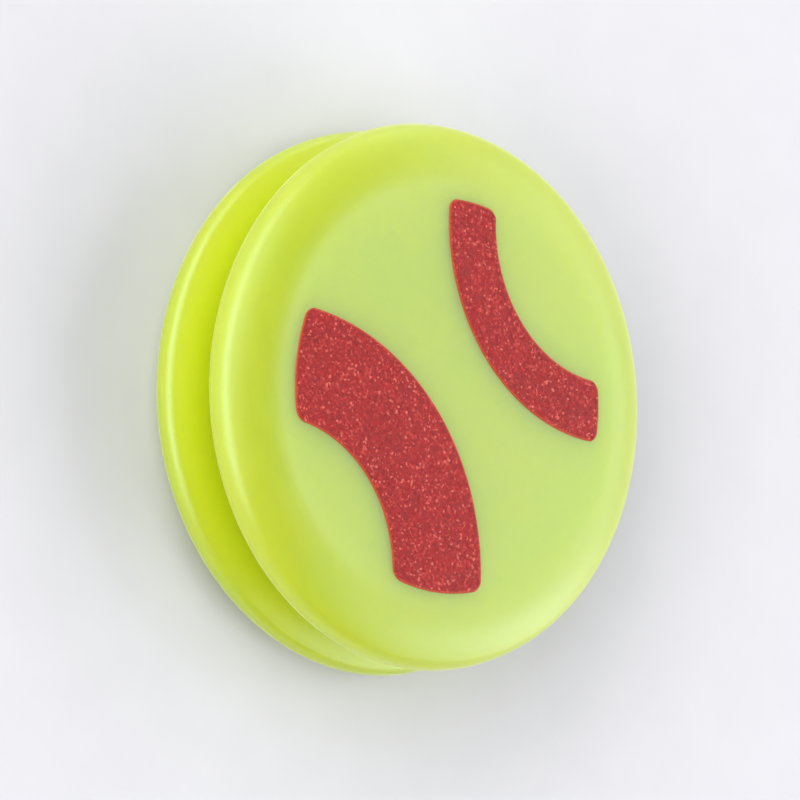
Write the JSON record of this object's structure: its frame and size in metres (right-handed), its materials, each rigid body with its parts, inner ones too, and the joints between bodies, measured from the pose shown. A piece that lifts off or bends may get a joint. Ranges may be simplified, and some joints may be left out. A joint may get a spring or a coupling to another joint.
{
  "type": "racket vibration dampener",
  "caption": "Round button-type string vibration dampener: soft discs joined by a short neck that seats between a racket's central main strings, with a curved-band print on the front.",
  "frame": {"origin": "centre of the rear disc's flat outer face, on which the part lies", "axes": "+Z along the disc axis, from the rear disc to the printed front disc; +Y along the main strings, towards the racket's head; +X along the cross strings"},
  "size_m": [0.025, 0.025, 0.0071],
  "materials": {
    "silicone": "satin, slightly translucent lime-yellow silicone rubber",
    "print_ink": "red ink film with a fine glitter grain"
  },
  "bodies": {
    "rear": {"rear_disc": "silicone"},
    "neck": {"neck": "silicone"},
    "front": {"front_disc": "silicone", "print_large_band": "print_ink", "print_small_band": "print_ink"}
  },
  "joints": [
    {"name": "neck_flex_x", "type": "hinge", "parent": "rear", "child": "neck", "pos_m": [0, 0, 0.00352], "axis": [1, 0, 0], "range_deg": [-5.5, 5.5], "stiffness_Nm_per_rad": 0.8, "deforming": ["neck"]},
    {"name": "neck_flex_y", "type": "hinge", "parent": "neck", "child": "front", "pos_m": [0, 0, 0.00352], "axis": [0, 1, 0], "range_deg": [-5.5, 5.5], "stiffness_Nm_per_rad": 0.8, "deforming": ["neck"]}
  ]
}
